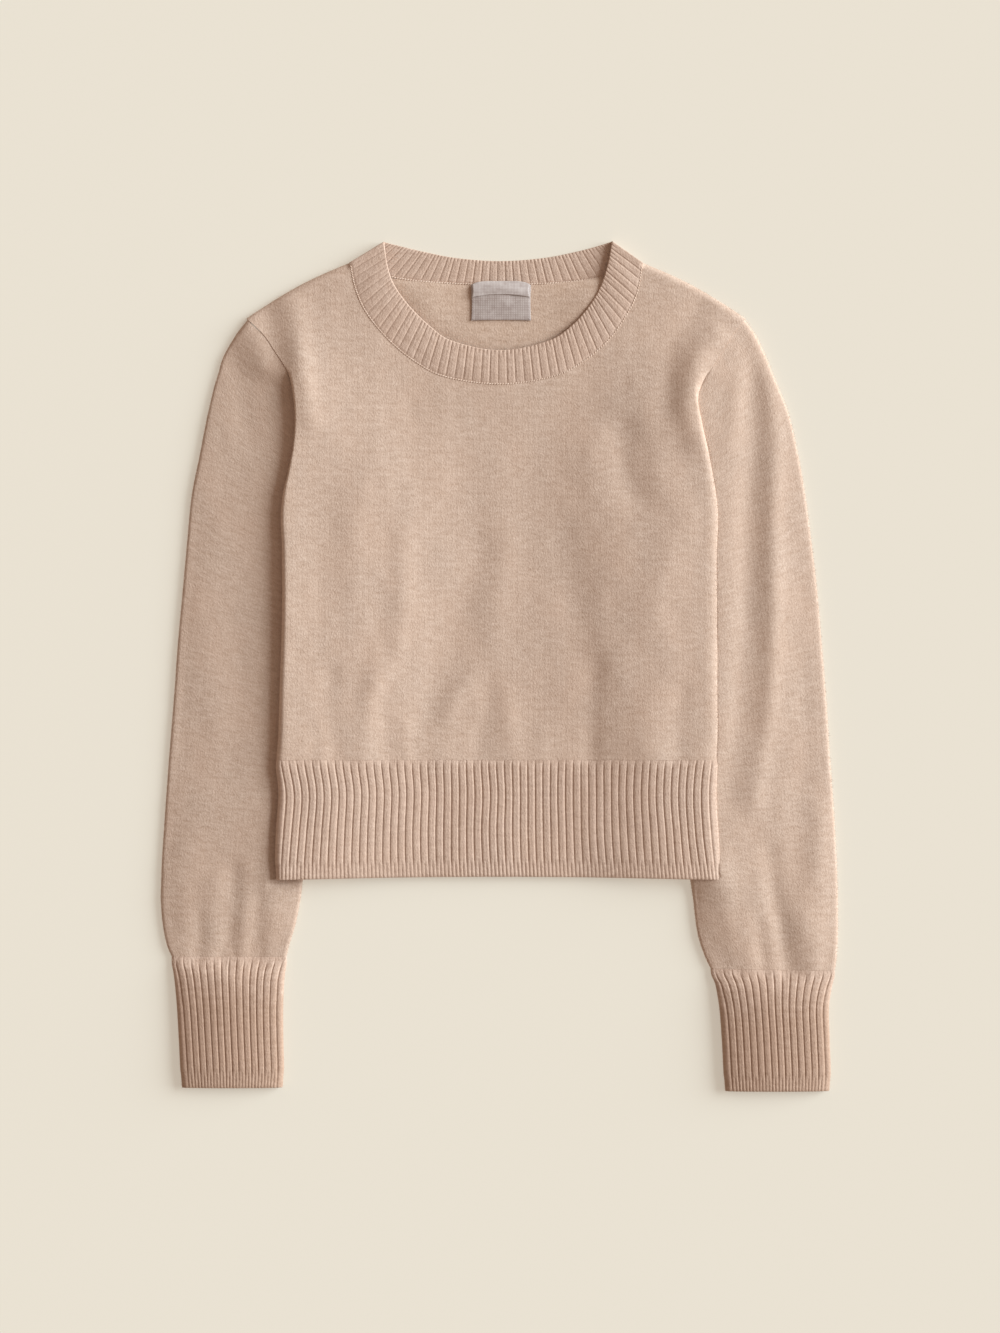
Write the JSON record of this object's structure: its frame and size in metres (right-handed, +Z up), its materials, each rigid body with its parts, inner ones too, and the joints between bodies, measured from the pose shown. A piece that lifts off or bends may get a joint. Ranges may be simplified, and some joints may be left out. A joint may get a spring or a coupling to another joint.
{
  "type": "cropped knit sweater laid flat",
  "caption": "Cropped crew-neck knit sweater with ribbed neck, hem and cuffs, laid flat with its front up and its sleeves turned down beside the body.",
  "frame": {"origin": "on the surface under the middle of the laid-out sweater", "axes": "+Y towards the collar, +X across to the right seen from above, +Z up from the surface, the sweater's front facing +Z"},
  "size_m": [0.5426, 0.6808, 0.0136],
  "materials": {
    "knit": "soft fine-gauge jersey knit, heathered oatmeal, light nap",
    "rib": "ribbed knit of the same yarn",
    "label": "bare woven label, slight sheen"
  },
  "bodies": {
    "root": {"front_panel": "knit", "back_panel": "knit", "sleeve_left": "knit", "sleeve_right": "knit", "front_hem_rib": "rib", "back_hem_rib": "rib", "cuff_left": "rib", "cuff_right": "rib", "neckband": "rib", "label_main": "label", "label_small": "label"}
  },
  "joints": []
}
